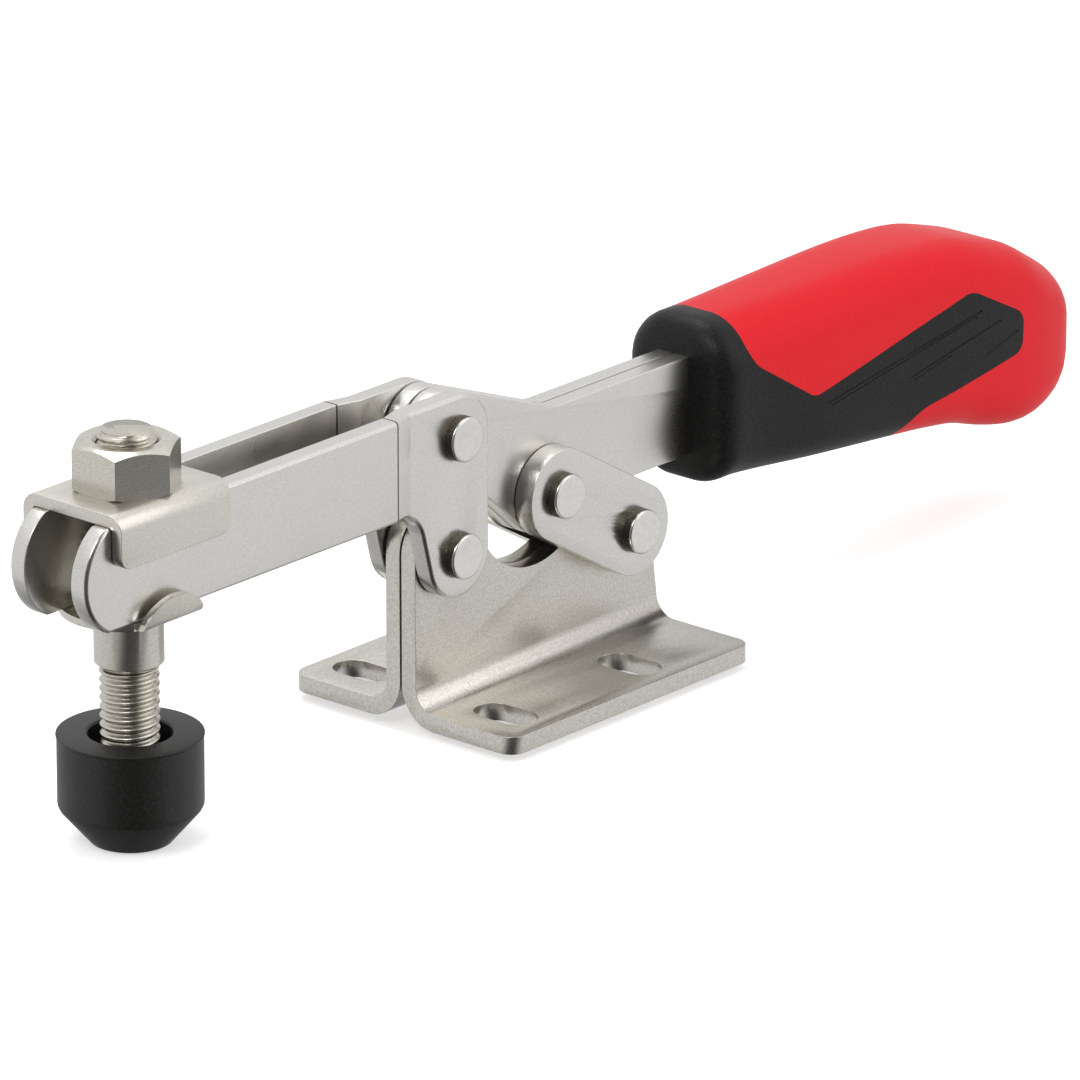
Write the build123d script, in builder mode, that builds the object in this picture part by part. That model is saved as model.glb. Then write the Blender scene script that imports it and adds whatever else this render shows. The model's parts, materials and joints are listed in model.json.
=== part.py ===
"""Horizontal toggle clamp with an open arm, in millimetres.

+X runs from the clamping spindle to the handle, +Y to the far side and +Z up. The
origin is the centre of the four base slots, on the underside of the base.
Points of the side view are complex numbers, with X as the real part and Z as the
imaginary part, so that one multiplication turns them.
"""
from cmath import phase, rect
from math import acos, degrees, radians
import os

from build123d import *

# Sheets
base_sheet = 2.5
arm_sheet = 2.75
lever_sheet = 2.5
link_sheet = 3.0
clip_sheet = 1.7
flange_sheet = 1.0
rail_chamfer = 0.4       # on the arm plates' outer upper edges, where the clip slides

# Clearances
web_gap = 0.3            # between the two base webs, and between the two lever plates
side_gap = 0.1           # between a web and a link plate that turns beside it
arm_side_gap = 0.35      # between a web and an arm plate
running_gap = 0.03       # radial, of a pin in its bush
seat_gap = 0.01          # radial, of a pressed bush or a riveted shank
window_gap = 0.35        # around the pin of the opened pivot
thread_gap = 0.05        # radial, of the spindle in its nut and sleeve
clip_gap = 0.2           # between an arm plate's side and the clip's leg
wing_gap = 0.4           # between an arm plate's side and the flange's wing
slide_gap = 0.05         # between an arm plate's edge and the clip or the flange
bush_end_gap = 0.05      # between a bush and the plates beside it
clip_hole_gap = 0.4      # radial, of the spindle in the clip

# Pivots in the closed position
arm_pivot = complex(-14.0, 23.9)
lever_pivot = complex(-14.0, 40.55)
toggle_pivot = complex(7.0, 26.85)
link_pivot = complex(22.6, 17.6)
arm_open = 90.0          # degrees, tip up
lever_open = 145.83      # degrees of the lever against the arm
link_open = 79.32        # degrees of the link plates
travel_steps = 20

# Pins and bushes
pin_radius = 2.5
rivet_head_radius = 3.13
rivet_head_height = 1.45
rivet_edge = 0.35
bush_wall = 1.0

# Base
base_length = 50.0
base_width = 40.0
base_corner = 2.5
bend_radius = 3.2
slot_pitch_x = 25.6
slot_pitch_y = 25.5
slot_width = 5.6
slot_length = 9.8
arm_boss_radius = 5.7     # its front is the front edge of the whole bracket
link_boss_radius = 6.0
notch_centre = complex(4.7, 28.57)
notch_radius = 11.84

# Arm
arm_depth = 14.3
arm_end_radius = 6.0
lobe_lean = 15.0         # degrees from upright, of the lobe's front edge
lobe_fillet = 5.2
arm_slot_width = 8.2
nib_radius = 8.2
nib_rise = 7.2           # centre of the nib's arc above the lower edge
nib_corner = 1.0
arm_reach = 74.2         # from the pivots forward to the nib's tip
joggle_length = 3.7
joggle_ahead = 10.0      # from the pivots forward to the joggle
joggle_radius = 0.6

# Lever
lever_nose_radius = 5.9
lever_boss_radius = 6.3
lever_slope = 20.8       # degrees, upper edge behind the nose
lever_bar_top = 38.3
lever_bar_bottom = 24.0
lever_valley_radius = 6.0
lever_throat = complex(-8.5, 32.1)
lever_throat_radius = 8.0
tang_end = 86.0
tang_corner = 3.0

# Link plates
link_end_radius = 6.5

# Spindle group
spindle_setback = 15.2    # from the nib's tip
thread_radius = 4.0
spindle_top = 56.1
spindle_chamfer = 0.8
head_flats = 13.0
head_height = 5.3
head_bottom = 5.2
nut_flats = 13.0
nut_height = 6.5
nut_turn = 31.0          # degrees
nut_face_share = 0.95    # of the flats, the round faces of the nut
nut_face_slope = 0.577
nut_bore_chamfer = 0.5
clip_length = 20.8
clip_leg = 5.5           # leg below the arm's upper edge
clip_bend_radius = 0.6
clip_corner = 1.8
sleeve_radius = 4.65
sleeve_length = 7.5
sleeve_chamfer = 0.6
flange_radius = 9.1
wing_height = 3.0
wing_lean = 12.0

# Rubber cap
cap_radius = 9.7
cap_top = 14.1
cap_shoulder = 4.0
cap_bottom = -1.2
cap_foot_radius = 5.8
cap_recess_radius = 5.7
cap_edge = 1.0

# Grip: stations along X with the lower and upper edge, half the width and the corner
grip_stations = [
    (36.8, 19.3, 43.3, 9.4, 7.5),
    (44.0, 19.3, 43.3, 9.4, 7.5),
    (60.0, 17.9, 43.4, 10.2, 7.5),
    (76.0, 16.6, 43.6, 10.7, 7.5),
    (84.0, 15.9, 43.3, 11.0, 7.5),
    (91.0, 14.9, 42.6, 11.2, 7.5),
    (97.0, 13.1, 41.0, 11.3, 7.5),
    (103.0, 11.8, 38.9, 11.2, 7.5),
    (108.0, 12.0, 36.1, 10.6, 7.5),
    (112.2, 14.2, 33.6, 9.3, 7.5),
    (116.0, 20.5, 30.5, 6.0, 4.9),
]
grip_front_fillet = 3.5
grip_end_fillet = 3.0
grip_skin = 2.2          # thickness of the soft underside
grip_core_width = 14.0   # of the hard body between the soft side panels
grip_gap = 0.05          # between the grip's pocket and the tang
collar_depth = 14.0      # solid behind the front face
panel_corners = [        # corners of the soft region in the side view, and their radii
    (complex(30.0, 5.0), 0),
    (complex(30.0, 50.0), 0),
    (complex(42.2, 50.0), 0),
    (complex(42.2, 37.6), 5.0),
    (complex(55.6, 29.2), 2.5),
    (complex(88.5, 36.6), 4.0),
    (complex(100.0, 30.6), 2.5),
    (complex(99.8, 25.0), 2.0),
    (complex(76.0, 21.2), 6.0),
    (complex(73.6, 5.0), 0),
]

# Worked out from the above
web_face = web_gap / 2 + base_sheet
lever_face = web_gap / 2 + lever_sheet
link_inner = web_face + side_gap
link_outer = link_inner + link_sheet
arm_inner_rear = web_face + arm_side_gap
arm_outer_rear = arm_inner_rear + arm_sheet
arm_inner_front = arm_slot_width / 2
arm_outer_front = arm_inner_front + arm_sheet
arm_top = lever_pivot.imag + arm_end_radius
arm_bottom = arm_top - arm_depth
base_front = arm_pivot.real - arm_boss_radius
base_rear = base_front + base_length
bush_radius = pin_radius + running_gap + bush_wall
clip_inner = arm_outer_front + clip_gap
clip_outer = clip_inner + clip_sheet
clip_seat = arm_top + slide_gap
clip_top = clip_seat + clip_sheet
tip_x = arm_pivot.real - arm_reach
spindle_x = tip_x + spindle_setback
grip_front = grip_stations[0][0]


def xz(point):
    """A side-view point as a pair for a sketch on the XZ plane."""
    return (point.real, point.imag)


def turned(point, centre, angle):
    """The point after an anticlockwise turn in the side view, in degrees."""
    return centre + (point - centre) * rect(1, radians(angle))


def arc(centre, start, end, clockwise=True):
    """An arc about a centre from one point to another."""
    sweep = degrees(phase((end - centre) / (start - centre)))
    if clockwise and sweep > 0:
        sweep -= 360
    if not clockwise and sweep < 0:
        sweep += 360
    first = degrees(phase(start - centre))
    return CenterArc(xz(centre), abs(start - centre), first, sweep)


def crossed_tangent(first, first_radius, second, second_radius, side):
    """Ends of the line that touches two circles on opposite sides of it."""
    apart = second - first
    lean = side * acos((first_radius + second_radius) / abs(apart))
    direction = apart / abs(apart) * rect(1, lean)
    return first + first_radius * direction, second - second_radius * direction


def polar(centre, radius, angle):
    """A point on a circle, at an angle in degrees from +X towards +Z."""
    return centre + rect(radius, radians(angle))


def save(part, name):
    """Label a finished piece and write it."""
    part.label = name
    export_step(part, f"parts/{name}.step")


os.makedirs("parts", exist_ok=True)

# --- Base: two mirrored angle brackets, web to web -------------------------------------

web_top = arm_pivot.imag + arm_boss_radius
boss_a_end, notch_start = crossed_tangent(
    arm_pivot, arm_boss_radius, notch_centre, notch_radius, 1)
boss_d_start, notch_end = crossed_tangent(
    link_pivot, link_boss_radius, notch_centre, notch_radius, -1)
flare = complex(base_rear, bend_radius + base_sheet)
boss_d_end, _ = crossed_tangent(link_pivot, link_boss_radius, flare, 0, 1)

with BuildPart() as base_bracket_near:
    with BuildSketch(Plane.YZ.offset(base_front)) as angle_section:
        with BuildLine():
            Polyline(
                (-web_gap / 2, 0),
                (-base_width / 2, 0),
                (-base_width / 2, base_sheet),
                (-web_face, base_sheet),
                (-web_face, web_top),
                (-web_gap / 2, web_top),
                close=True,
            )
        make_face()
        fillet(angle_section.vertices().sort_by_distance((-web_gap / 2, 0))[0],
               bend_radius + base_sheet)
        fillet(angle_section.vertices().sort_by_distance((-web_face, base_sheet))[0], bend_radius)
    extrude(amount=base_length)
    with BuildSketch(Plane.XZ):
        with BuildLine():
            Line((base_front, 0), (base_front, arm_pivot.imag))
            arc(arm_pivot, complex(base_front, arm_pivot.imag), boss_a_end)
            Line(xz(boss_a_end), xz(notch_start))
            arc(notch_centre, notch_start, notch_end, clockwise=False)
            Line(xz(notch_end), xz(boss_d_start))
            arc(link_pivot, boss_d_start, boss_d_end)
            Polyline(xz(boss_d_end), xz(flare), (base_rear, 0), (base_front, 0))
        make_face()
    extrude(amount=base_width / 2, mode=Mode.INTERSECT)
    with BuildSketch(Plane.XZ):
        with Locations(xz(arm_pivot), xz(link_pivot)):
            Circle(bush_radius + seat_gap)
    extrude(amount=base_width / 2, mode=Mode.SUBTRACT)
    fillet(base_bracket_near.edges().filter_by(Axis.Z).group_by(Axis.Y)[0], base_corner)
    with BuildSketch(Plane.XY):
        with Locations((0, -slot_pitch_y / 2)):
            with GridLocations(slot_pitch_x, 0, 2, 1):
                SlotOverall(slot_length, slot_width, rotation=90)
    extrude(amount=base_sheet, mode=Mode.SUBTRACT)
save(base_bracket_near.part, "base_bracket_near")

with BuildPart() as base_bracket_far:
    mirror(base_bracket_near.part, about=Plane.XZ)
save(base_bracket_far.part, "base_bracket_far")

# --- Arm: two joggled plates with the open slot between them ----------------------------

joggle_rear = arm_pivot.real - joggle_ahead
joggle_front = joggle_rear - joggle_length
nib_centre = complex(tip_x + nib_radius, arm_bottom + nib_rise)
nib_above = arm_top - nib_centre.imag
nib_top_x = nib_centre.real - (nib_radius**2 - nib_above**2) ** 0.5
nib_bottom_x = nib_centre.real - (nib_radius**2 - nib_rise**2) ** 0.5
lobe_start = polar(arm_pivot, arm_end_radius, 180 + lobe_lean)
lobe_end = arm_pivot + arm_end_radius
lobe_edge = rect(1, radians(90 + lobe_lean))
lobe_corner = lobe_start + lobe_edge * (arm_bottom - lobe_start.imag) / lobe_edge.imag
rear_corner = lever_pivot + arm_end_radius

with BuildPart() as arm_plate_near:
    with BuildSketch() as plan_section:
        with BuildLine():
            Polyline(
                (tip_x, -arm_inner_front),
                (joggle_front, -arm_inner_front),
                (joggle_rear, -arm_inner_rear),
                (rear_corner.real, -arm_inner_rear),
                (rear_corner.real, -arm_outer_rear),
                (joggle_rear, -arm_outer_rear),
                (joggle_front, -arm_outer_front),
                (tip_x, -arm_outer_front),
                close=True,
            )
        make_face()
        joggle_corners = plan_section.vertices().group_by(Axis.X)[1:3]
        fillet(joggle_corners[0] + joggle_corners[1], joggle_radius)
    extrude(amount=arm_top)
    with BuildSketch(Plane.XZ) as arm_outline:
        with BuildLine():
            Line((nib_top_x, arm_top), (lever_pivot.real, arm_top))
            arc(lever_pivot, lever_pivot + arm_end_radius * 1j, rear_corner)
            Line(xz(rear_corner), xz(lobe_end))
            arc(arm_pivot, lobe_end, lobe_start)
            Polyline(xz(lobe_start), xz(lobe_corner), (nib_bottom_x, arm_bottom))
            arc(nib_centre, complex(nib_bottom_x, arm_bottom), complex(nib_top_x, arm_top))
        make_face()
        fillet(arm_outline.vertices().sort_by_distance(xz(lobe_corner))[0], lobe_fillet)
        fillet(arm_outline.vertices().sort_by(Axis.X)[0:2], nib_corner)
    extrude(amount=arm_outer_front, mode=Mode.INTERSECT)
    with BuildSketch(Plane.XZ):
        with Locations(xz(arm_pivot), xz(lever_pivot)):
            Circle(pin_radius + seat_gap)
    extrude(amount=arm_outer_front, mode=Mode.SUBTRACT)
    rail_edges = arm_plate_near.edges().filter_by(Axis.X).group_by(Axis.Z)[-1]
    chamfer(rail_edges.sort_by_distance((joggle_front, -arm_outer_front, arm_top))[0], rail_chamfer)
save(arm_plate_near.part, "arm_plate_near")

with BuildPart() as arm_plate_far:
    mirror(arm_plate_near.part, about=Plane.XZ)
save(arm_plate_far.part, "arm_plate_far")

# --- Lever: two laminated plates, bent out of line at the valley behind the nose ---------

slope = rect(1, radians(-lever_slope))
nose_top = polar(lever_pivot, lever_nose_radius, 90 - lever_slope)
valley = nose_top + slope * (lever_bar_top - nose_top.imag) / slope.imag
nose_bottom, _ = crossed_tangent(lever_pivot, lever_nose_radius, lever_throat, 0, -1)
boss_start, _ = crossed_tangent(toggle_pivot, lever_boss_radius, lever_throat, 0, 1)
boss_end, bar_start = crossed_tangent(
    toggle_pivot, lever_boss_radius, complex(link_pivot.real - link_boss_radius, lever_bar_bottom), 0, -1)


def pin_in_lever(share):
    """The toggle pin as the lever sees it, at a share of the way to open."""
    pin = turned(toggle_pivot, link_pivot, -link_open * share)
    arm_back = turned(pin, arm_pivot, arm_open * share)
    return turned(arm_back, lever_pivot, -lever_open * share)


pin_path = [pin_in_lever(step / travel_steps) for step in range(travel_steps + 1)]

with BuildPart() as lever_plate_near:
    with BuildSketch(Plane.XZ.offset(web_gap / 2)) as lever_outline:
        with BuildLine():
            arc(lever_pivot, nose_bottom, nose_top)
            Polyline(
                xz(nose_top),
                xz(valley),
                (tang_end, lever_bar_top),
                (tang_end, lever_bar_bottom),
                xz(bar_start),
                xz(boss_end),
            )
            arc(toggle_pivot, boss_end, boss_start)
            Polyline(xz(boss_start), xz(lever_throat), xz(nose_bottom))
        make_face()
        fillet(lever_outline.vertices().sort_by_distance(xz(valley))[0], lever_valley_radius)
        fillet(lever_outline.vertices().sort_by_distance(xz(lever_throat))[0], lever_throat_radius)
        fillet(lever_outline.vertices().sort_by_distance(xz(bar_start))[0], lever_throat_radius)
        fillet(lever_outline.vertices().group_by(Axis.X)[-1], tang_corner)
    extrude(amount=lever_sheet)
    with BuildSketch(Plane.XZ):
        with Locations(xz(lever_pivot)):
            Circle(bush_radius + seat_gap)
    extrude(amount=lever_face, mode=Mode.SUBTRACT)
    with BuildSketch(Plane.XZ):
        with BuildLine():
            Polyline(*[xz(point) for point in pin_path], close=True)
        make_face()
        offset(amount=pin_radius + window_gap, kind=Kind.ARC)
    extrude(amount=lever_face, mode=Mode.SUBTRACT)
save(lever_plate_near.part, "lever_plate_near")

with BuildPart() as lever_plate_far:
    mirror(lever_plate_near.part, about=Plane.XZ)
save(lever_plate_far.part, "lever_plate_far")

# --- Toggle links ------------------------------------------------------------------------

with BuildPart() as link_plate_near:
    with BuildSketch(Plane.XZ.offset(link_inner)):
        SlotCenterPoint(xz((toggle_pivot + link_pivot) / 2), xz(link_pivot), 2 * link_end_radius)
    extrude(amount=link_sheet)
    with BuildSketch(Plane.XZ):
        with Locations(xz(toggle_pivot), xz(link_pivot)):
            Circle(pin_radius + seat_gap)
    extrude(amount=link_outer, mode=Mode.SUBTRACT)
save(link_plate_near.part, "link_plate_near")

with BuildPart() as link_plate_far:
    mirror(link_plate_near.part, about=Plane.XZ)
save(link_plate_far.part, "link_plate_far")

# --- Pivot pins with a head on each side, and their bushes --------------------------------

for name, pivot, outer_face in (
    ("arm_rivet", arm_pivot, arm_outer_rear),
    ("lever_rivet", lever_pivot, arm_outer_rear),
    ("toggle_rivet", toggle_pivot, link_outer),
    ("link_rivet", link_pivot, link_outer),
):
    with BuildPart() as rivet:
        with BuildSketch(Plane.XZ):
            with Locations(xz(pivot)):
                Circle(pin_radius)
        extrude(amount=outer_face, both=True)
        with BuildSketch(Plane.XZ.offset(outer_face)):
            with Locations(xz(pivot)):
                Circle(rivet_head_radius)
        extrude(amount=rivet_head_height)
        chamfer(rivet.faces().sort_by(Axis.Y)[0].edges(), rivet_edge)
        mirror(about=Plane.XZ)
    save(rivet.part, name)

for name, pivot, side_room in (
    ("base_bush_front", arm_pivot, arm_inner_rear),
    ("lever_bush", lever_pivot, arm_inner_rear),
    ("base_bush_rear", link_pivot, link_inner),
):
    with BuildPart() as bush:
        with BuildSketch(Plane.XZ):
            with Locations(xz(pivot)):
                Circle(bush_radius)
                Circle(pin_radius + running_gap, mode=Mode.SUBTRACT)
        extrude(amount=side_room - bush_end_gap, both=True)
    save(bush.part, name)

# --- Spindle group: it slides along the arm's slot ----------------------------------------

spindle_axis = Axis((spindle_x, 0, 0), (0, 0, 1))
leg_end = arm_top - clip_leg

with BuildPart() as saddle_clip:
    with BuildSketch(Plane.YZ.offset(spindle_x - clip_length / 2)) as clip_section:
        with BuildLine():
            Polyline(
                (-clip_outer, leg_end),
                (-clip_outer, clip_top),
                (clip_outer, clip_top),
                (clip_outer, leg_end),
                (clip_inner, leg_end),
                (clip_inner, clip_seat),
                (-clip_inner, clip_seat),
                (-clip_inner, leg_end),
                close=True,
            )
        make_face()
        for edge_y, edge_z, radius in (
            (clip_outer, clip_top, clip_bend_radius + clip_sheet),
            (clip_inner, clip_seat, clip_bend_radius),
        ):
            for side in (-1, 1):
                corner = clip_section.vertices().sort_by_distance((side * edge_y, edge_z))[0]
                fillet(corner, radius)
    extrude(amount=clip_length)
    fillet(saddle_clip.edges().filter_by(Axis.Y).group_by(Axis.Z)[0], clip_corner)
    with BuildSketch(Plane.XY.offset(clip_top)):
        with Locations((spindle_x, 0)):
            Circle(thread_radius + clip_hole_gap)
    extrude(amount=-clip_sheet, mode=Mode.SUBTRACT)
save(saddle_clip.part, "saddle_clip")

flange_top = arm_bottom - slide_gap
flange_bottom = flange_top - flange_sheet
wing_foot = arm_outer_front + wing_gap
wing_half = (flange_radius**2 - wing_foot**2) ** 0.5
wing_edge = rect(wing_height / rect(1, radians(wing_lean)).real, radians(90 - wing_lean))
wing_top = complex(wing_foot, flange_top) + wing_edge
wing_back = wing_top + rect(flange_sheet, radians(-wing_lean))
wing_heel = wing_back - wing_edge * (wing_back.imag - flange_bottom) / wing_edge.imag

with BuildPart() as flange_wing:
    with BuildSketch(Plane.YZ.offset(spindle_x)) as wing_section:
        with BuildLine():
            Polyline(
                (sleeve_radius, flange_bottom),
                xz(wing_heel),
                xz(wing_back),
                xz(wing_top),
                (wing_foot, flange_top),
                (sleeve_radius, flange_top),
                close=True,
            )
        make_face()
        fillet(wing_section.vertices().sort_by_distance(xz(wing_heel))[0], flange_sheet)
    extrude(amount=flange_radius, both=True)
    with BuildSketch(Plane.XZ):
        with BuildLine():
            wing_arch = ThreePointArc(
                (spindle_x - wing_half, flange_top),
                (spindle_x, flange_top + wing_height),
                (spindle_x + wing_half, flange_top),
            )
            Polyline(
                wing_arch @ 1,
                (spindle_x + wing_half, flange_bottom),
                (spindle_x - wing_half, flange_bottom),
                wing_arch @ 0,
            )
        make_face()
    extrude(amount=2 * flange_radius, both=True, mode=Mode.INTERSECT)

with BuildPart() as flanged_sleeve:
    with BuildSketch(Plane.XY.offset(flange_bottom)):
        with Locations((spindle_x, 0)):
            Circle(flange_radius)
            Rectangle(2 * flange_radius, 2 * wing_foot - flange_sheet, mode=Mode.INTERSECT)
    extrude(amount=flange_sheet)
    add(flange_wing.part)
    add(mirror(flange_wing.part, about=Plane.XZ, mode=Mode.PRIVATE))
    with BuildSketch(Plane.XY.offset(flange_bottom)):
        with Locations((spindle_x, 0)):
            Circle(sleeve_radius)
    extrude(amount=flange_sheet - sleeve_length)
    chamfer(flanged_sleeve.faces().sort_by(Axis.Z)[0].outer_wire().edges(), sleeve_chamfer)
    with BuildSketch(Plane.XY.offset(flange_top)):
        with Locations((spindle_x, 0)):
            Circle(thread_radius + thread_gap)
    extrude(amount=-sleeve_length, mode=Mode.SUBTRACT)
save(flanged_sleeve.part, "flanged_sleeve")

nut_corner = nut_flats / 3**0.5
nut_face = nut_face_share * nut_flats / 2
nut_drop = (nut_corner - nut_face) * nut_face_slope
nut_top = clip_top + nut_height

with BuildPart() as hex_nut:
    with BuildSketch(Plane.XY.offset(clip_top)):
        with Locations((spindle_x, 0)):
            RegularPolygon(nut_flats / 2, 6, major_radius=False, rotation=nut_turn)
    extrude(amount=nut_height)
    with BuildSketch(Plane.XZ):
        with BuildLine():
            Polyline(
                (spindle_x, clip_top),
                (spindle_x + nut_face, clip_top),
                (spindle_x + nut_corner, clip_top + nut_drop),
                (spindle_x + nut_corner, nut_top - nut_drop),
                (spindle_x + nut_face, nut_top),
                (spindle_x, nut_top),
                close=True,
            )
        make_face()
    revolve(axis=spindle_axis, mode=Mode.INTERSECT)
    with BuildSketch(Plane.XY.offset(clip_top)):
        with Locations((spindle_x, 0)):
            Circle(thread_radius + thread_gap)
    extrude(amount=nut_height, mode=Mode.SUBTRACT)
    chamfer(hex_nut.edges().filter_by(GeomType.CIRCLE).filter_by(lambda e: e.radius < nut_face * 0.9),
            nut_bore_chamfer)
save(hex_nut.part, "hex_nut")

with BuildPart() as clamping_spindle:
    with BuildSketch(Plane.XY.offset(head_bottom)):
        with Locations((spindle_x, 0)):
            RegularPolygon(head_flats / 2, 6, major_radius=False)
    extrude(amount=head_height)
    with BuildSketch(Plane.XY.offset(head_bottom)):
        with Locations((spindle_x, 0)):
            Circle(thread_radius)
    extrude(amount=spindle_top - head_bottom)
    chamfer(clamping_spindle.faces().sort_by(Axis.Z)[-1].edges(), spindle_chamfer)
save(clamping_spindle.part, "clamping_spindle")

head_top = head_bottom + head_height

with BuildPart() as rubber_cap:
    with BuildSketch(Plane.XZ) as cap_section:
        with BuildLine():
            Polyline(
                (spindle_x, cap_bottom),
                (spindle_x + cap_foot_radius, cap_bottom),
                (spindle_x + cap_radius, cap_shoulder),
                (spindle_x + cap_radius, cap_top),
                (spindle_x + cap_recess_radius, cap_top),
                (spindle_x + cap_recess_radius, head_top + seat_gap),
                (spindle_x, head_top + seat_gap),
                close=True,
            )
        make_face()
        foot_corner = cap_section.vertices().sort_by_distance(
            (spindle_x + cap_foot_radius, cap_bottom))[0]
        chamfer(foot_corner, cap_edge)
    revolve(axis=spindle_axis)
    with BuildSketch(Plane.XY.offset(head_bottom - seat_gap)):
        with Locations((spindle_x, 0)):
            RegularPolygon(head_flats / 2 + seat_gap, 6, major_radius=False)
    extrude(amount=head_height + 2 * seat_gap, mode=Mode.SUBTRACT)
save(rubber_cap.part, "rubber_cap")

# --- Grip: a hard body with a soft collar, underside and side panels -----------------------


with BuildPart() as grip_blank:
    for x, low, high, half_width, corner in grip_stations:
        with BuildSketch(Plane.YZ.offset(x)):
            with Locations((0, (low + high) / 2)):
                RectangleRounded(2 * half_width, high - low, corner)
    loft(ruled=True)
    fillet(grip_blank.faces().sort_by(Axis.X)[0].edges(), grip_front_fillet)
    fillet(grip_blank.faces().sort_by(Axis.X)[-1].edges(), grip_end_fillet)

with BuildPart() as grip_core:
    with BuildSketch(Plane.XZ):
        with BuildLine():
            core_bottom = Polyline(*[(x, low + grip_skin) for x, low, *_ in grip_stations])
            core_top = Polyline(*[(x, high) for x, low, high, *_ in grip_stations])
            Line(core_bottom @ 0, core_top @ 0)
            Line(core_bottom @ 1, core_top @ 1)
        make_face()
    extrude(amount=grip_core_width / 2, both=True)
    split(bisect_by=Plane.YZ.offset(grip_front + collar_depth), keep=Keep.TOP)

with BuildPart() as soft_region:
    with BuildSketch(Plane.XZ) as panel_outline:
        with BuildLine():
            Polyline(*[xz(point) for point, _ in panel_corners], close=True)
        make_face()
        for point, radius in panel_corners:
            if radius:
                fillet(panel_outline.vertices().sort_by_distance(xz(point))[0], radius)
    extrude(amount=base_width, both=True)
    add(grip_blank.part, mode=Mode.INTERSECT)
    add(grip_core.part, mode=Mode.SUBTRACT)

with BuildPart() as tang_pocket:
    with BuildSketch(Plane.XZ) as pocket_outline:
        with BuildLine():
            Polyline(
                (grip_front - grip_gap, lever_bar_bottom - grip_gap),
                (grip_front - grip_gap, lever_bar_top + grip_gap),
                (tang_end + grip_gap, lever_bar_top + grip_gap),
                (tang_end + grip_gap, lever_bar_bottom - grip_gap),
                close=True,
            )
        make_face()
        fillet(pocket_outline.vertices().group_by(Axis.X)[-1], tang_corner)
    extrude(amount=lever_face + grip_gap, both=True)

with BuildPart() as grip_collar:
    add(soft_region.part)
    add(tang_pocket.part, mode=Mode.SUBTRACT)
save(grip_collar.part, "grip_collar")

with BuildPart() as grip_body:
    add(grip_blank.part)
    add(soft_region.part, mode=Mode.SUBTRACT)
    add(tang_pocket.part, mode=Mode.SUBTRACT)
save(grip_body.part, "grip_body")
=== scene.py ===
"""Looks of a horizontal toggle clamp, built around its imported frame.

Metres, with +X from the clamping spindle to the handle, +Y to the far side and +Z up.
"""
import json
from math import cos, hypot, pi, radians, sin, tan

import bmesh
import bpy
from mathutils import Matrix, Vector


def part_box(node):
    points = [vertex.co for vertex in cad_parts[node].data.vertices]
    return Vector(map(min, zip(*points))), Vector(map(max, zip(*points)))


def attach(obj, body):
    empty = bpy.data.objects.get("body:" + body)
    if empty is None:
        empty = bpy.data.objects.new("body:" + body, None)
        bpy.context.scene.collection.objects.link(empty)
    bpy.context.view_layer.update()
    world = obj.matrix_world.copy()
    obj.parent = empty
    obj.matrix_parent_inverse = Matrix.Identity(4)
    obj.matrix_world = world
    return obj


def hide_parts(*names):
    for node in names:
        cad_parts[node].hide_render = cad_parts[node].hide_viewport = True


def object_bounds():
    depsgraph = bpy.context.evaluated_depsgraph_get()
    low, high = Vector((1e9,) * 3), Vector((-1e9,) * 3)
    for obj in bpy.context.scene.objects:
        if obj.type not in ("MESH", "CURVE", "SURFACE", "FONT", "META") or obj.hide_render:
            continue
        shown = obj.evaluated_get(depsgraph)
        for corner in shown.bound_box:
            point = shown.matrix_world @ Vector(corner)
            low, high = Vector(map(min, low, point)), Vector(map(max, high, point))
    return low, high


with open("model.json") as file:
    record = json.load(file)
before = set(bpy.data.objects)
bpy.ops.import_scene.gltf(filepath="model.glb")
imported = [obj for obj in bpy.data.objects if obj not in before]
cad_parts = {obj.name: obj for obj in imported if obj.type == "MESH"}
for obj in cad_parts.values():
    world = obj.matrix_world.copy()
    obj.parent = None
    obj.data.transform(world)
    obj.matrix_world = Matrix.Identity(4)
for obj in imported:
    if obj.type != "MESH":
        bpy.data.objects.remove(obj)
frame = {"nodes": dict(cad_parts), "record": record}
cad_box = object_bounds()

MM = 0.001

# --- Sizes -----------------------------------------------------------------------------
# A length that ends in MM is in metres. Those of the nut and the grip are in mm, because
# in_metres scales their finished forms.

weld = 0.001 * MM                # vertices this close are joined
flat_angle = radians(0.4)        # faces this close to one plane are joined
quarter = [radians(15 * step) for step in range(7)]       # a quarter circle in six steps

# Rounding of the edges
stamped_edge = 0.14 * MM         # sheets tumbled after stamping
bracket_edge = 0.2 * MM
folded_edge = 0.15 * MM
turned_edge = 0.12 * MM
nut_edge = 0.1 * MM
rivet_edge = 0.06 * MM
thread_edge = 0.05 * MM
cap_edge = 0.12 * MM
seam_edge = 0.08 * MM            # both sides of the grip's seam

# Arm plates: where the bending tool creased the joggle, a thin line of painted shade
crease_shade_x = -27.7 * MM
crease_shade_width = 0.3 * MM

# Lever plates: a box around the CAD's running window for the toggle pin
window_x = (-1.4 * MM, 12.6 * MM)
window_z = (21.9 * MM, 34.2 * MM)

# Sleeve: its collar reaches further down than the solid
sleeve_growth = 1.2 * MM
sleeve_foot = 1.0 * MM           # height of the part that moves down

# Rivets
rivet_round = 0.35 * MM
rivet_shank = 2.5 * MM
rivet_head_height = 1.45 * MM
rivet_dish = 0.05 * MM           # the heads are pressed a little hollow
rivet_dish_radius = 2.0 * MM
rivet_dish_floor = 1.6 * MM

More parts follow.
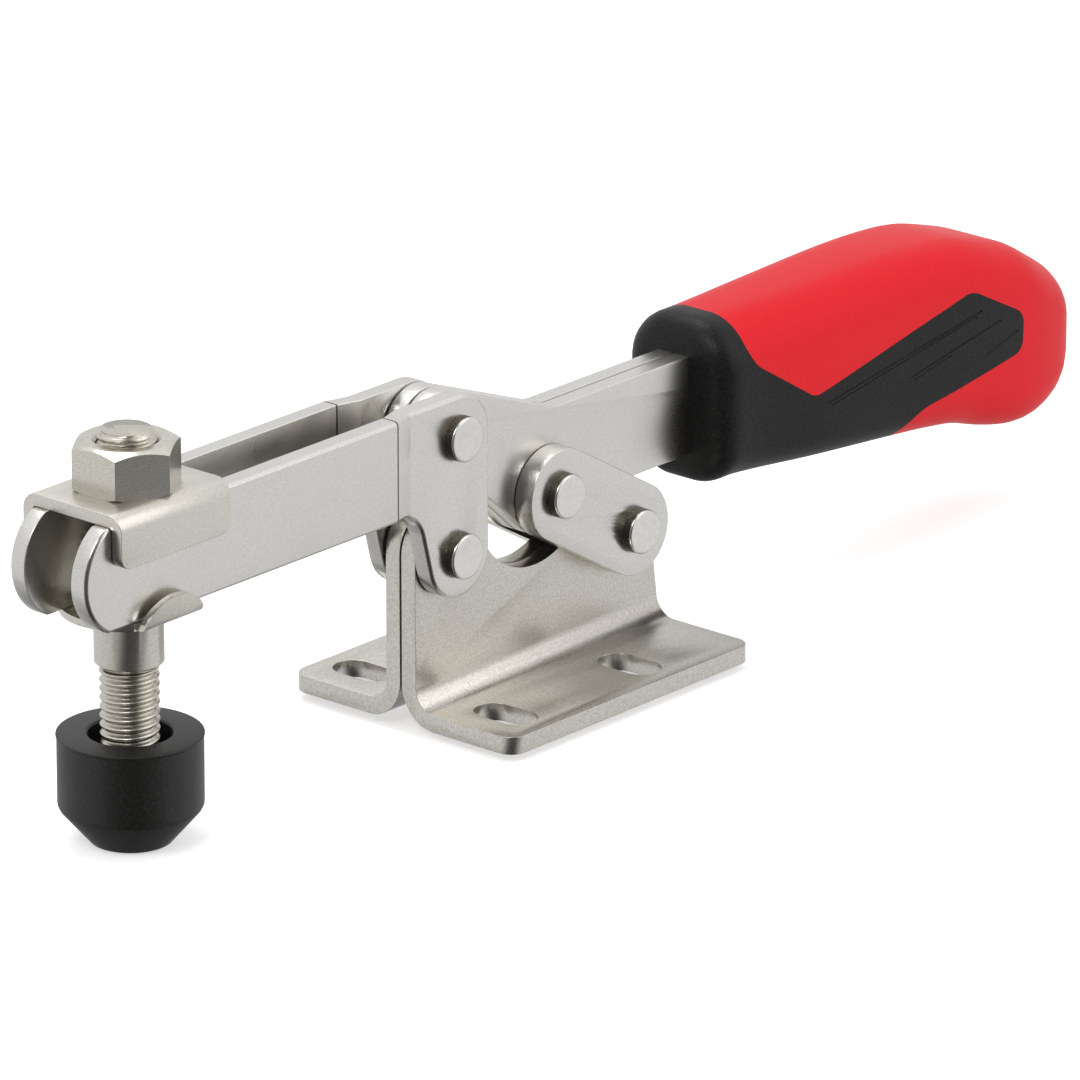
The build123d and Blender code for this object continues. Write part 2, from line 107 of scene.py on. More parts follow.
# Spindle: an M8 coarse thread
thread_pitch = 1.25 * MM
thread_radius = 4.0 * MM
thread_depth = 0.68 * MM
thread_steps = 72
thread_chamfer = 0.6 * MM
thread_start = 5.0 * MM          # below the cap's upper face
thread_waste = 1.2               # turns cut off where the sweep starts
thread_form = [                  # one turn, root to crest and back: shares of pitch and depth
    (0.0, 1.0), (0.14, 0.94), (0.30, 0.45), (0.42, 0.08),
    (0.52, 0.0), (0.62, 0.08), (0.74, 0.45), (0.90, 0.94),
]

# Rubber cap
cap_flash = 0.12 * MM            # the mould's parting line stands out this far
cap_flash_height = 0.35 * MM
cap_shoulder = 4.0 * MM          # where the side turns into the cone
cap_foot_radius = 5.5 * MM
cap_hole_radius = 5.6 * MM
cap_hole_floor = 10.6 * MM
cap_round = 0.25 * MM            # of the rims

# Lock nut, in mm
nut_across_flats = 13.0
nut_turn = radians(31.5)         # one corner's direction about the screw
nut_cone = radians(30)           # of the turned chamfers
nut_chamfer = 0.9
nut_foot = 0.35
nut_bore = 4.05
nut_countersink = 0.55

# Grip: X, lower edge, upper edge, half the width and the corner radius, in mm
grip_sections = [
    (36.8, 19.3, 43.3, 9.4, 7.5),
    (44.0, 19.3, 43.3, 9.4, 7.5),
    (60.0, 17.9, 43.4, 10.2, 7.5),
    (76.0, 16.6, 43.6, 10.7, 7.5),
    (84.0, 15.9, 43.3, 11.0, 7.5),
    (91.0, 14.9, 42.6, 11.2, 7.5),
    (97.0, 13.1, 41.0, 11.3, 7.5),
    (103.0, 11.8, 38.9, 11.2, 7.5),
    (108.0, 12.0, 36.1, 10.6, 7.5),
    (112.2, 14.2, 33.6, 9.3, 7.0),
    (116.0, 20.5, 30.5, 6.0, 4.9),
]
grip_front_round = 3.5
grip_end_round = 3.0
grip_least_corner = 0.5
grip_steps = 56                  # rings between the rounded ends
ring_segments = 40
# The soft component's outline in the side view: X, Z and the corner's radius, in mm
panel_outline = [
    (30.0, 5.0, 0), (30.0, 50.0, 0), (42.2, 50.0, 0), (42.2, 37.6, 5.0), (55.6, 29.2, 2.5),
    (88.5, 36.6, 4.0), (100.0, 30.6, 2.5), (99.8, 25.0, 2.0), (76.0, 21.2, 6.0), (73.6, 5.0, 0),
]
panel_reach = 20                 # past both sides of the grip
# The panel's fine grooves: both ends, X and Z, in mm
panel_grooves = [
    ((58.0, 27.6), (90.7, 33.1)),
    ((58.9, 27.1), (89.6, 32.5)),
    ((75.4, 26.9), (94.8, 30.7)),
    ((76.3, 26.4), (84.0, 28.1)),
    ((91.7, 26.2), (98.7, 28.3)),
]
groove_depth = 0.22
groove_width = 0.42
groove_flare = 1.6               # how much wider the cutter is where it leaves the panel
groove_past = 0.6                # how far it stands out of the panel, as a share of the depth

# --- Finish ----------------------------------------------------------------------------

noise_span = (0.3, 0.7)          # nearly all of a noise's values
cloud_size = 14 * MM             # broad changes of a metal's shine
cloud_dulling = 0.05             # the most that they add to its roughness
cloud_polish = 0.04              # the most that they take from it
flank_lean = 0.35                # a pin's flanks, painted in shade, are the faces that lean less towards Y

# --- Studio ----------------------------------------------------------------------------

camera_azimuth = radians(49.02)
camera_elevation = radians(19.715)
camera_place = Vector((-1.0546, -0.9238, 0.5233))
camera_lens = 366.4
camera_sensor = 36.0
camera_clip = (0.1, 20)

floor_size = 6
floor_gap = 0.05 * MM            # between the cap's foot and the floor

# Each lamp: name, place, side and watts
lamps = [
    ("key_left", (-0.9, -0.3, 1.0), 0.5, 5),
    ("fill_right", (0.4, -1.1, 0.8), 1.4, 4),
    ("top", (0.1, 0.4, 1.1), 0.5, 3),
]
lamp_target = (0, 0, 0.03)

world_light = 0.55               # soft light for matt surfaces
floor_glow = 0.5                 # in view only, so that the floor reads as white

# The room that metal mirrors. A spread is where a tone begins and where it is full: along the
# direction to the dark side, or in the height of the direction looked in
wall_brightness = 0.82
dark_side = (-0.669, -0.743, 0)
dark_side_spread = (0.5, 0.95)
dark_side_brightness = 0.09
bench_spread = (-0.8, -0.45)     # here the bench is full first and the wall follows
bench_brightness = 0.3
ceiling_spread = (0.4, 0.65)

# --- Helpers ---------------------------------------------------------------------------


def linear(code):
    """An sRGB hex colour as linear RGBA."""
    channels = [int(code[i:i + 2], 16) / 255 for i in (1, 3, 5)]
    return [c / 12.92 if c <= 0.04045 else ((c + 0.055) / 1.055) ** 2.4 for c in channels] + [1]


def add_node(tree, kind, inputs=None, **settings):
    """Adds a node, with its settings, and its inputs given as values or as sockets to link."""
    new = tree.nodes.new(kind)
    for name, value in settings.items():
        setattr(new, name, value)
    for name, value in (inputs or {}).items():
        if isinstance(value, bpy.types.NodeSocket):
            tree.links.new(value, new.inputs[name])
        else:
            new.inputs[name].default_value = value
    return new


def calculated(tree, operation, *values):
    """The result of a Math node on values or sockets."""
    return add_node(tree, "ShaderNodeMath", dict(enumerate(values)), operation=operation).outputs[0]


def start_material(name, **shader_values):
    """A new material with its shader's own sockets set; returns it, its tree and the shader."""
    material = bpy.data.materials.new(name)
    material.use_nodes = True
    tree = material.node_tree
    shader = tree.nodes["Principled BSDF"]
    for socket, value in shader_values.items():
        shader.inputs[socket.replace("_", " ")].default_value = value
    return material, tree, shader


def noise(tree, size, detail, stretch=(1, 1, 1)):
    """Noise on Object coordinates, with features of about a size in metres."""
    place = add_node(tree, "ShaderNodeTexCoord").outputs["Object"]
    mapped = add_node(tree, "ShaderNodeMapping", {"Vector": place, "Scale": stretch})
    return add_node(tree, "ShaderNodeTexNoise", {
        "Vector": mapped.outputs["Vector"], "Scale": 1 / size, "Detail": detail,
    }).outputs["Fac"]


def remap(tree, value, low, high, new_low, new_high):
    """Maps a range of a value onto another range."""
    return add_node(tree, "ShaderNodeMapRange", {
        "Value": value, "From Min": low, "From Max": high, "To Min": new_low, "To Max": new_high,
    }).outputs["Result"]


def mix_colour(tree, factor, first, second):
    """Mixes two colours, given as values or sockets, by a factor."""
    mix = add_node(tree, "ShaderNodeMix", {0: factor, 6: first, 7: second}, data_type="RGBA")
    return mix.outputs[2]


def bump(tree, height, distance):
    """A normal bumped by a height of up to a distance in metres."""
    inputs = {"Height": height, "Distance": distance, "Strength": 1.0}
    return add_node(tree, "ShaderNodeBump", inputs).outputs["Normal"]


def linked_object(name, bm):
    """Makes an object of the scene from a bmesh, and frees the bmesh."""
    mesh = bpy.data.meshes.new(name)
    bm.to_mesh(mesh)
    bm.free()
    new = bpy.data.objects.new(name, mesh)
    bpy.context.scene.collection.objects.link(new)
    return new


def new_piece(node, bm, material):
    """A smooth piece that replaces a CAD node and rides on its body."""
    piece = linked_object(node + "_finished", bm)
    mesh = piece.data
    mesh.materials.append(material)
    mesh.polygons.foreach_set("use_smooth", [True] * len(mesh.polygons))
    bodies = frame["record"]["behaviour"]["bodies"]
    body = next(name for name, nodes in bodies.items() if node in nodes)
    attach(piece, body)
    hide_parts(node)
    return piece


def merged_copy(node):
    """The CAD node's mesh, with its vertices merged and its flat faces joined."""
    bm = bmesh.new()
    bm.from_mesh(frame["nodes"][node].data)
    bmesh.ops.remove_doubles(bm, verts=bm.verts, dist=weld)
    bmesh.ops.dissolve_limit(bm, angle_limit=flat_angle, verts=bm.verts, edges=bm.edges)
    return bm


def round_edges(piece, width, angle=32):
    """Rounds every edge sharper than an angle, and keeps the flat faces flat."""
    bevel = piece.modifiers.new("rounded_edges", "BEVEL")
    bevel.width = width
    bevel.segments = 3
    bevel.limit_method = "ANGLE"
    bevel.angle_limit = radians(angle)
    bevel.harden_normals = True
    bevel.miter_outer = "MITER_ARC"


def dressed(node, material, width):
    """A CAD node's own shape with its edges rounded."""
    round_edges(new_piece(node, merged_copy(node), material), width)


def spun(profile, start, axis, steps=96):
    """A surface turned about an axis square to X, from (radius, height along it) points."""
    bm = bmesh.new()
    points = [bm.verts.new(start + Vector((radius, 0, 0)) + Vector(axis) * height)
              for radius, height in profile]
    edges = [bm.edges.new(pair) for pair in zip(points, points[1:])]
    bmesh.ops.spin(bm, geom=points + edges, cent=start, axis=axis, angle=2 * pi, steps=steps,
                   use_merge=True)
    bmesh.ops.remove_doubles(bm, verts=bm.verts, dist=weld)
    bmesh.ops.recalc_face_normals(bm, faces=bm.faces)
    return bm


def in_metres(bm, centre=(0, 0, 0)):
    """Scales a form made in mm to metres and moves it to its place."""
    bmesh.ops.scale(bm, verts=bm.verts, vec=(MM, MM, MM))
    bmesh.ops.translate(bm, verts=bm.verts, vec=centre)
    bmesh.ops.remove_doubles(bm, verts=bm.verts, dist=2 * weld)
    return bm


def combined(first, second, operation):
    """One bmesh cut by, kept within or joined to another; both are used up."""
    tools = [linked_object("tool", bm) for bm in (first, second)]
    cut = tools[0].modifiers.new("cut", "BOOLEAN")
    cut.object = tools[1]
    cut.operation = operation
    cut.solver = "EXACT"
    result = tools[0].evaluated_get(bpy.context.evaluated_depsgraph_get()).to_mesh()
    bm = bmesh.new()
    bm.from_mesh(result)
    for tool in tools:
        bpy.data.objects.remove(tool)
    return bm


# --- Materials -------------------------------------------------------------------------


def stainless(name, light, shade, roughness, grain, grain_height, stretch=(1, 1, 1)):
    """Stainless steel whose fine grain varies its tone and scatters its shine."""
    material, tree, shader = start_material(name, Metallic=1.0)
    cloud = noise(tree, cloud_size, 1)
    fine = noise(tree, grain, 3, stretch)
    tone = mix_colour(tree, remap(tree, fine, *noise_span, 0, 1), linear(shade), linear(light))
    dullness = remap(tree, cloud, *noise_span, roughness - cloud_polish, roughness + cloud_dulling)
    tree.links.new(tone, shader.inputs["Base Color"])
    tree.links.new(dullness, shader.inputs["Roughness"])
    tree.links.new(bump(tree, fine, grain_height), shader.inputs["Normal"])
    return material


def tumbled_stainless_sheet(name="tumbled_stainless_sheet"):
    """Stamped stainless sheet, tumbled after stamping: satin, with a fine grey grain."""
    return stainless(name, "#E2E0DC", "#D4D2CD", 0.27, 0.3 * MM, 0.003 * MM)


def crease_shaded_stainless_sheet():
    """The same tumbled sheet, with a fine dark line of painted shade along the crease that the bending
    tool leaves at the joggle.
    """
    material = tumbled_stainless_sheet("crease_shaded_stainless_sheet")
    tree = material.node_tree
    base = tree.nodes["Principled BSDF"].inputs["Base Color"]
    place = add_node(tree, "ShaderNodeTexCoord").outputs["Object"]
    x = add_node(tree, "ShaderNodeSeparateXYZ", {"Vector": place}).outputs["X"]
    # A thin band across X at the joggle's crease, painted dark as the crease's shade
    line = calculated(tree, "COMPARE", x, crease_shade_x, crease_shade_width / 2)
    crease_shaded_tone = mix_colour(tree, line, base.links[0].from_socket, linear("#5A5750"))
    tree.links.new(crease_shaded_tone, base)
    return material


def blasted_stainless_sheet():
    """Thick folded stainless sheet, glass-blasted: softer and warmer, with a deeper grain."""
    return stainless("blasted_stainless_sheet", "#DCD9D3", "#C0BCB3", 0.30, 0.3 * MM, 0.007 * MM)


def folded_stainless_sheet():
    """Thin stainless sheet, folded cold and left as rolled: a little duller than the stamped plates."""
    return stainless("folded_stainless_sheet", "#E0DDD6", "#CFCBC2", 0.31, 0.3 * MM, 0.004 * MM)


def turned_stainless():
    """Stainless steel turned on a lathe: its grain is drawn out around the spindle's axis."""
    around = (0.7, 0.7, 1.6)
    return stainless("turned_stainless", "#DCD9D1", "#C9C5BB", 0.27, 0.35 * MM, 0.003 * MM, around)


def rolled_stainless_thread():
    """A rolled stainless thread: burnished, so that crests and flanks part into light and dark."""
    return stainless("rolled_stainless_thread", "#D4D0C6", "#C0BBAF", 0.23, 0.3 * MM, 0.003 * MM)


def pressed_stainless_pin():
    """Stainless pin heads pressed flat by a rivet tool: smooth, pale and slightly mottled."""
    return stainless("pressed_stainless_pin", "#E8E6E2", "#DDDBD6", 0.28, 0.8 * MM, 0.003 * MM)


def shaded_pin_flank():
    """The pins' flanks: duller than the pressed faces, and painted dark as the shade that they stand in
    beside the plates.
    """
    return stainless("shaded_pin_flank", "#6E6A5F", "#565249", 0.42, 0.4 * MM, 0.004 * MM)


def ground_bearing_steel():
    """Ground bearing bushes: an even, darker grey between the pale plates."""
    return stainless("ground_bearing_steel", "#A8A49C", "#8B877F", 0.35, 0.3 * MM, 0.004 * MM)


def moulded(name, dark, light, grain, grain_height, spread, detail=3, dust=None, **shader_values):
    """A moulded skin with a fine raised grain. Its tone follows the grain, or a dust upon it."""
    material, tree, shader = start_material(name, IOR=1.5, **shader_values)
    skin = noise(tree, grain, detail)
    mottle = noise(tree, dust, 6) if dust else skin
    tone = mix_colour(tree, remap(tree, mottle, *spread, 0, 1), linear(dark), linear(light))
    tree.links.new(tone, shader.inputs["Base Color"])
    tree.links.new(bump(tree, skin, grain_height), shader.inputs["Normal"])
    return material


def moulded_rubber():
    """Moulded nitrile rubber: matt charcoal with a dry, dusty grain."""
    return moulded("moulded_rubber", "#10100E", "#1E1E1A", 0.3 * MM, 0.04 * MM, (0.45, 0.75), detail=4,
                   dust=0.45 * MM, Roughness=0.45, Specular_IOR_Level=0.5)


def moulded_elastomer():
    """Soft thermoplastic elastomer from an eroded mould: black, with a fine leathery grain."""
    return moulded("moulded_elastomer", "#0F100F", "#1B1C1B", 0.4 * MM, 0.06 * MM, (0.35, 0.65),
                   Roughness=0.40, Specular_IOR_Level=0.22)


def moulded_red_polyamide():
    """Hard moulded polyamide, dyed signal red, with a silky skin."""
    return moulded("moulded_red_polyamide", "#E4242C", "#EA2B33", 0.3 * MM, 0.015 * MM, noise_span,
                   Roughness=0.38, Specular_IOR_Level=0.1)


# --- Pieces ----------------------------------------------------------------------------


def closed_lever_plate(node):
    """A lever plate whose running window for the toggle pin is closed, as on the real linkage."""
    bm = merged_copy(node)

    def is_window_wall(face):
        centre = face.calc_center_median()
        across = abs(face.normal.y) < 0.5
        return (across and window_x[0] < centre.x < window_x[1]
                and window_z[0] < centre.z < window_z[1])

    bmesh.ops.delete(bm, geom=[face for face in bm.faces if is_window_wall(face)], context="FACES")
    bmesh.ops.holes_fill(bm, edges=[edge for edge in bm.edges if edge.is_boundary])
    bmesh.ops.dissolve_limit(bm, angle_limit=flat_angle, verts=bm.verts, edges=bm.edges)
    bmesh.ops.recalc_face_normals(bm, faces=bm.faces)
    return bm


def build_plates():
    """The stamped and folded sheets, and the bushes that they hold."""
    sheet = tumbled_stainless_sheet()
    blasted = blasted_stainless_sheet()
    bent = crease_shaded_stainless_sheet()
    for side in ("near", "far"):
        dressed(f"base_bracket_{side}", blasted, bracket_edge)
        dressed(f"arm_plate_{side}", bent, stamped_edge)
        dressed(f"link_plate_{side}", sheet, stamped_edge)
        lever = f"lever_plate_{side}"
        round_edges(new_piece(lever, closed_lever_plate(lever), sheet), stamped_edge)
    dressed("saddle_clip", folded_stainless_sheet(), folded_edge)
    bearing = ground_bearing_steel()
    for node in ("base_bush_front", "base_bush_rear", "lever_bush"):
        dressed(node, bearing, turned_edge)


def build_sleeve(turned):
    """The flanged sleeve, with its collar at its full length."""
    bm = merged_copy("flanged_sleeve")
    low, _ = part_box("flanged_sleeve")
    foot = [vert for vert in bm.verts if vert.co.z < low.z + sleeve_foot]
    bmesh.ops.translate(bm, verts=foot, vec=(0, 0, -sleeve_growth))
    round_edges(new_piece("flanged_sleeve", bm, turned), turned_edge)


def build_nut(turned):
    """The lock nut: a hexagon with its corners turned to a cone, and a countersunk bore."""
    low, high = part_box("hex_nut")
    height = (high.z - low.z) / MM
    corner = nut_across_flats / 2 / cos(pi / 6)
    hexagon = bmesh.new()
    # A cone's first vertex lies on +Y
    place = Matrix.Translation((0, 0, height / 2)) @ Matrix.Rotation(nut_turn - pi / 2, 4, "Z")
    bmesh.ops.create_cone(hexagon, cap_ends=True, segments=6, radius1=corner, radius2=corner,
                          depth=height, matrix=place)
    slope = tan(nut_cone)
    past = 0.1                   # the turned form is this much wider than the corners
    through = 1.0                # the bore's form reaches this far past both faces
    turned_form = [
        (0, 0), (corner - nut_foot / slope, 0), (corner + past, nut_foot + past * slope),
        (corner + past, height - nut_chamfer - past * slope), (corner - nut_chamfer / slope, height),
        (0, height),
    ]
    bore_form = [
        (0, -through), (nut_bore, -through), (nut_bore, height - nut_countersink),
        (nut_bore + nut_countersink, height), (nut_bore + nut_countersink, height + through),
        (0, height + through),
    ]
    outside, bore = (spun(form, Vector(), (0, 0, 1)) for form in (turned_form, bore_form))
    nut = combined(combined(hexagon, outside, "INTERSECT"), bore, "DIFFERENCE")
    centre = ((low.x + high.x) / 2, 0, low.z)
    round_edges(new_piece("hex_nut", in_metres(nut, centre), turned), nut_edge, angle=20)


def rivet_profile(head, inner, outer):
    """Half a pin: its shank from an inner place and its head with a rounded rim and a shallow dish."""
    rim = [(head - rivet_round * (1 - cos(turn)), outer - rivet_round * (1 - sin(turn)))
           for turn in quarter]
    shank = [(rivet_shank, inner), (rivet_shank, outer - rivet_head_height),
             (head, outer - rivet_head_height)]
    dish = [(rivet_dish_radius, outer), (rivet_dish_floor, outer - rivet_dish), (0, outer - rivet_dish)]
    return shank + rim + dish


def build_rivets():
    """The pivot pins. The toggle pin is its two ends only, because the linkage is open there."""
    pressed = pressed_stainless_pin()
    shaded_flank = shaded_pin_flank()
    for node in ("arm_rivet", "lever_rivet", "toggle_rivet", "link_rivet"):
        low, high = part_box(node)
        middle = Vector(((low.x + high.x) / 2, 0, (low.z + high.z) / 2))
        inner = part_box("link_plate_far")[0].y if node == "toggle_rivet" else 0
        closing = [(0, inner)] if node == "toggle_rivet" else []
        half = closing + rivet_profile((high.x - low.x) / 2, inner, high.y)
        bm = spun(half, middle, (0, 1, 0))
        bmesh.ops.mirror(bm, geom=bm.verts[:] + bm.edges[:] + bm.faces[:], axis="Y", merge_dist=weld)
        bmesh.ops.recalc_face_normals(bm, faces=bm.faces)
        piece = new_piece(node, bm, pressed)
        piece.data.materials.append(shaded_flank)
        # Faces turned away from Y get the flanks' painted shade; faces towards Y stay pale
        for face in piece.data.polygons:
            face.material_index = 1 if abs(face.normal.y) < flank_lean else 0
        round_edges(piece, rivet_edge, angle=40)


def cut_flat(bm, height, keep_below):
    """Cuts a form off at a height and closes the cut."""
    bmesh.ops.bisect_plane(bm, geom=bm.verts[:] + bm.edges[:] + bm.faces[:], plane_co=(0, 0, height),
                           plane_no=(0, 0, 1), clear_outer=keep_below, clear_inner=not keep_below)
    rim = [edge for edge in bm.edges if edge.is_boundary
           and all(abs(vert.co.z - height) < weld for vert in edge.verts)]
    bmesh.ops.holes_fill(bm, edges=rim)


def build_spindle():
    """The clamping spindle: a rolled thread from inside the cap to a chamfered end above the nut."""
    low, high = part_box("clamping_spindle")
    centre = Vector(((low.x + high.x) / 2, 0, 0))
    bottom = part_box("rubber_cap")[1].z - thread_start
    turns = int((high.z - bottom) / thread_pitch) + 3         # with some to cut off at the top
    bm = bmesh.new()
    points = [bm.verts.new(centre + Vector((thread_radius - thread_depth * depth, 0,
                                            bottom + (turn + share) * thread_pitch)))
              for turn in range(turns) for share, depth in thread_form]
    edges = [bm.edges.new(pair) for pair in zip(points, points[1:])]
    bmesh.ops.spin(bm, geom=points + edges, cent=centre, axis=(0, 0, 1), angle=2 * pi,
                   dvec=(0, 0, thread_pitch / thread_steps), steps=thread_steps)
    bmesh.ops.remove_doubles(bm, verts=bm.verts, dist=3 * weld)
    cut_flat(bm, high.z, keep_below=True)
    cut_flat(bm, bottom + thread_waste * thread_pitch, keep_below=False)
    for vert in bm.verts:
        out = hypot(vert.co.x - centre.x, vert.co.y)
        limit = thread_radius - thread_chamfer + (high.z - vert.co.z)
        if out > limit > 0:
            vert.co.x = centre.x + (vert.co.x - centre.x) * limit / out
            vert.co.y = vert.co.y * limit / out
    bmesh.ops.recalc_face_normals(bm, faces=bm.faces)
    round_edges(new_piece("clamping_spindle", bm, rolled_stainless_thread()), thread_edge, angle=50)


def build_cap():
    """The rubber cap: a moulded ring with a parting line, a cone below and a hole for the screw."""
    low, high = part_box("rubber_cap")
    centre = Vector(((low.x + high.x) / 2, 0, 0))
    radius = (high.x - low.x) / 2
    top = high.z
    flash = top - cap_flash_height
    # Between the named sizes, small steps round the corners
    cone = [(0, low.z), (cap_foot_radius - 0.6 * MM, low.z), (cap_foot_radius, low.z + cap_round)]
    shoulder = [(radius - 0.3 * MM, cap_shoulder - 0.4 * MM),
                (radius - 0.05 * MM, cap_shoulder + 0.1 * MM), (radius, cap_shoulder + 0.5 * MM)]
    rim = [(radius, flash - 0.15 * MM), (radius + cap_flash, flash),
           (radius + cap_flash * 0.9, top - cap_flash_height * 0.3), (radius - cap_round, top)]
    hole = [(cap_hole_radius + 0.3 * MM, top), (cap_hole_radius, top - cap_round),
            (cap_hole_radius - 0.05 * MM, cap_hole_floor), (0, cap_hole_floor)]
    bm = spun(cone + shoulder + rim + hole, centre, (0, 0, 1), steps=128)
    round_edges(new_piece("rubber_cap", bm, moulded_rubber()), cap_edge, angle=25)


def grip_at(x):
    """The grip's section at an X in mm, on smooth curves through the named sections."""
    rows = grip_sections
    i = max(0, min(len(rows) - 2, sum(row[0] <= x for row in rows) - 1))
    start, end = rows[i], rows[i + 1]
    before, after = rows[max(i - 1, 0)], rows[min(i + 2, len(rows) - 1)]
    span = end[0] - start[0]
    t = (x - start[0]) / span
    values = []
    for column in range(1, 5):
        leave = (end[column] - before[column]) / (end[0] - before[0]) * span
        reach = (after[column] - start[column]) / (after[0] - start[0]) * span
        values.append((2 * t**3 - 3 * t**2 + 1) * start[column] + (t**3 - 2 * t**2 + t) * leave
                      + (3 * t**2 - 2 * t**3) * end[column] + (t**3 - t**2) * reach)
    return values


def grip_ring(bm, x, inset):
    """A rounded rectangular ring: a circle with its quarters moved apart."""
    low, high, half, corner = grip_at(x)
    corner = max(corner - inset, grip_least_corner)
    middle = (low + high) / 2
    # Half a step of turn, so that no vertex lies between two quarters
    place = (Matrix.Translation((x, 0, middle)) @ Matrix.Rotation(pi / 2, 4, "Y")
             @ Matrix.Rotation(pi / ring_segments, 4, "Z"))
    ring = bmesh.ops.create_circle(bm, segments=ring_segments, radius=corner, matrix=place)["verts"]
    side = half - inset - corner
    rise = (high - low) / 2 - inset - corner
    for vert in ring:
        vert.co.z += rise if vert.co.z > middle else -rise
        vert.co.y += side if vert.co.y > 0 else -side
    return [edge for edge in bm.edges if edge.verts[0] in ring and edge.verts[1] in ring]


def grip_form():
    """The whole grip as one smooth closed form, in mm."""
    first = grip_sections[0][0]
    last = grip_sections[-1][0]
    length = last - grip_end_round - first - grip_front_round
    front = [(first + grip_front_round * (1 - cos(turn)), grip_front_round * (1 - sin(turn)))
             for turn in quarter]
    between = [(first + grip_front_round + length * i / grip_steps, 0) for i in range(1, grip_steps)]
    rear = [(last - grip_end_round * (1 - cos(turn)), grip_end_round * (1 - sin(turn)))
            for turn in reversed(quarter)]
    places = front + between + rear
    bm = bmesh.new()
    before = grip_ring(bm, *places[0])
    bmesh.ops.edgeloop_fill(bm, edges=before)
    for place in places[1:]:
        ring = grip_ring(bm, *place)
        bmesh.ops.bridge_loops(bm, edges=before + ring)
        before = ring
    bmesh.ops.edgeloop_fill(bm, edges=before)
    bmesh.ops.recalc_face_normals(bm, faces=bm.faces)
    return bm


def panel_prism():
    """The soft component's outline, pushed through the grip from side to side, in mm."""
    bm = bmesh.new()
    corners = [bm.verts.new((x, -panel_reach, z)) for x, z, _ in panel_outline]
    bm.faces.new(corners)
    for vert, (_, _, radius) in zip(corners, panel_outline):
        if radius:
            one, two = (edge.other_vert(vert).co - vert.co for edge in vert.link_edges)
            bmesh.ops.bevel(bm, geom=[vert], offset=radius / tan(one.angle(two) / 2),
                            affect="VERTICES", segments=8, profile=0.5, material=-1)
    pushed = bmesh.ops.extrude_face_region(bm, geom=bm.faces[:])["geom"]
    moved = [item for item in pushed if isinstance(item, bmesh.types.BMVert)]
    bmesh.ops.translate(bm, verts=moved, vec=(0, 2 * panel_reach, 0))
    bmesh.ops.recalc_face_normals(bm, faces=bm.faces)
    return bm


def groove_cutters():
    """Wedges that cut the panel's grooves to one depth on both sides, in mm."""
    bm = bmesh.new()
    for ends in panel_grooves:
        start, end = (Vector((x, 0, z)) for x, z in ends)
        across = (end - start).normalized().cross(Vector((0, 1, 0))) * groove_width / 2
        for side in (-1, 1):
            for vert in bmesh.ops.create_cube(bm, size=1)["verts"]:
                place = end if vert.co.x > 0 else start
                inside = vert.co.y * side < 0
                spread = 0 if inside else groove_flare
                rise = across * spread * (1 if vert.co.z > 0 else -1)
                reach = grip_at(place.x)[2] + groove_depth * (-1 if inside else groove_past)
                vert.co = place + rise + Vector((0, side * reach, 0))
    # The wedges' inner edges are closed here
    bmesh.ops.remove_doubles(bm, verts=bm.verts, dist=weld / MM)
    bmesh.ops.recalc_face_normals(bm, faces=bm.faces)
    return bm


def build_grip():
    """The two components of the grip, parted by a fine seam."""
    panelled = combined(grip_form(), panel_prism(), "INTERSECT")
    collar = combined(panelled, groove_cutters(), "DIFFERENCE")
    body = combined(grip_form(), panel_prism(), "DIFFERENCE")
    for node, bm, material in (("grip_collar", collar, moulded_elastomer()),
                               ("grip_body", body, moulded_red_polyamide())):
        round_edges(new_piece(node, in_metres(bm), material), seam_edge, angle=30)


# --- Floor, light and camera -----------------------------------------------------------


def pale_floor():
    """Matt white board: it reads as white in view and keeps the soft shadow."""
    material, tree, shader = start_material("pale_floor", Roughness=0.9)
    shader.inputs["Base Color"].default_value = linear("#F3F3F2")
    shader.inputs["Emission Color"].default_value = (1, 1, 1, 1)
    in_view = add_node(tree, "ShaderNodeLightPath").outputs["Is Camera Ray"]
    glow = remap(tree, in_view, 0, 1, 0, floor_glow)
    tree.links.new(glow, shader.inputs["Emission Strength"])
    return material


def build_floor():
    """The floor under the cap's foot, which metal doesn't mirror."""
    low, _ = cad_box
    bm = bmesh.new()
    bmesh.ops.create_grid(bm, x_segments=1, y_segments=1, size=floor_size)
    bmesh.ops.translate(bm, verts=bm.verts, vec=(0, 0, low[2] - floor_gap))
    floor = linked_object("floor", bm)
    floor.data.materials.append(pale_floor())
    floor.visible_glossy = False


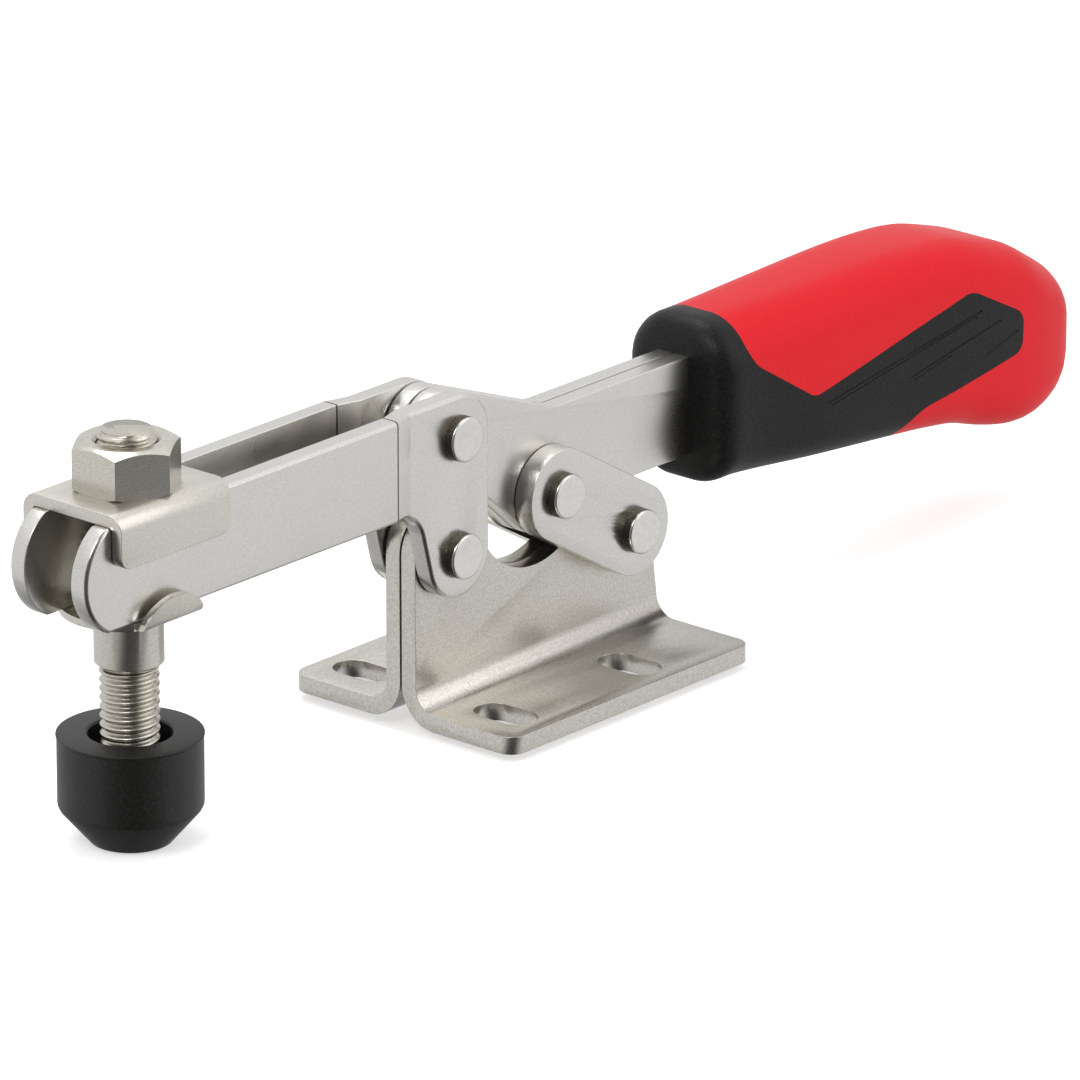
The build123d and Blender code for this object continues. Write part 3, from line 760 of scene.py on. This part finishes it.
def mirrored_room(tree):
    """What metal mirrors: light walls but one, a brighter ceiling and a darker bench top."""
    way = add_node(tree, "ShaderNodeTexCoord").outputs["Generated"]
    level = add_node(tree, "ShaderNodeVectorMath", {0: way, 1: (1, 1, 0)}, operation="MULTIPLY")
    level = add_node(tree, "ShaderNodeVectorMath", {0: level.outputs[0]}, operation="NORMALIZE")
    towards = add_node(tree, "ShaderNodeVectorMath", {0: level.outputs[0], 1: dark_side},
                       operation="DOT_PRODUCT").outputs["Value"]
    height = add_node(tree, "ShaderNodeSeparateXYZ", {"Vector": way}).outputs["Z"]
    wall = remap(tree, towards, *dark_side_spread, 1, dark_side_brightness)
    bench = remap(tree, height, *bench_spread, bench_brightness, wall_brightness)
    ceiling = remap(tree, height, *ceiling_spread, 0, 1 - wall_brightness)
    return calculated(tree, "MULTIPLY", calculated(tree, "ADD", bench, ceiling), wall)


def build_world():
    """White surroundings in view, soft light for the object, and the room that metal mirrors."""
    world = bpy.data.worlds.new("studio")
    bpy.context.scene.world = world
    world.use_nodes = True
    tree = world.node_tree
    background = tree.nodes["Background"]
    background.inputs["Color"].default_value = (1, 1, 1, 1)
    ray = add_node(tree, "ShaderNodeLightPath").outputs
    plain = remap(tree, ray["Is Camera Ray"], 0, 1, world_light, 1)
    mixed = add_node(tree, "ShaderNodeMix", {0: ray["Is Glossy Ray"], 2: plain, 3: mirrored_room(tree)})
    tree.links.new(mixed.outputs[0], background.inputs["Strength"])


def add_lamp(name, place, side, watts):
    """A square area lamp aimed at the clamp."""
    lamp = bpy.data.lights.new(name, "AREA")
    lamp.shape = "SQUARE"
    lamp.size = side
    lamp.energy = watts
    holder = bpy.data.objects.new(name, lamp)
    holder.location = place
    holder.rotation_euler = (Vector(lamp_target) - Vector(place)).to_track_quat("-Z", "Y").to_euler()
    bpy.context.scene.collection.objects.link(holder)


def build_camera():
    """The camera, far off with a long lens."""
    camera = bpy.data.cameras.new("camera")
    camera.lens = camera_lens
    camera.sensor_width = camera_sensor
    camera.clip_start, camera.clip_end = camera_clip
    holder = bpy.data.objects.new("camera", camera)
    holder.location = camera_place
    forward = Vector((sin(camera_azimuth) * cos(camera_elevation),
                      cos(camera_azimuth) * cos(camera_elevation), -sin(camera_elevation)))
    holder.rotation_euler = forward.to_track_quat("-Z", "Y").to_euler()
    bpy.context.scene.collection.objects.link(holder)
    bpy.context.scene.camera = holder


build_plates()
turned = turned_stainless()
build_sleeve(turned)
build_nut(turned)
build_rivets()
build_spindle()
build_cap()
build_grip()
build_floor()
build_world()
for lamp in lamps:
    add_lamp(*lamp)
build_camera()
bpy.context.scene.view_settings.view_transform = "Standard"
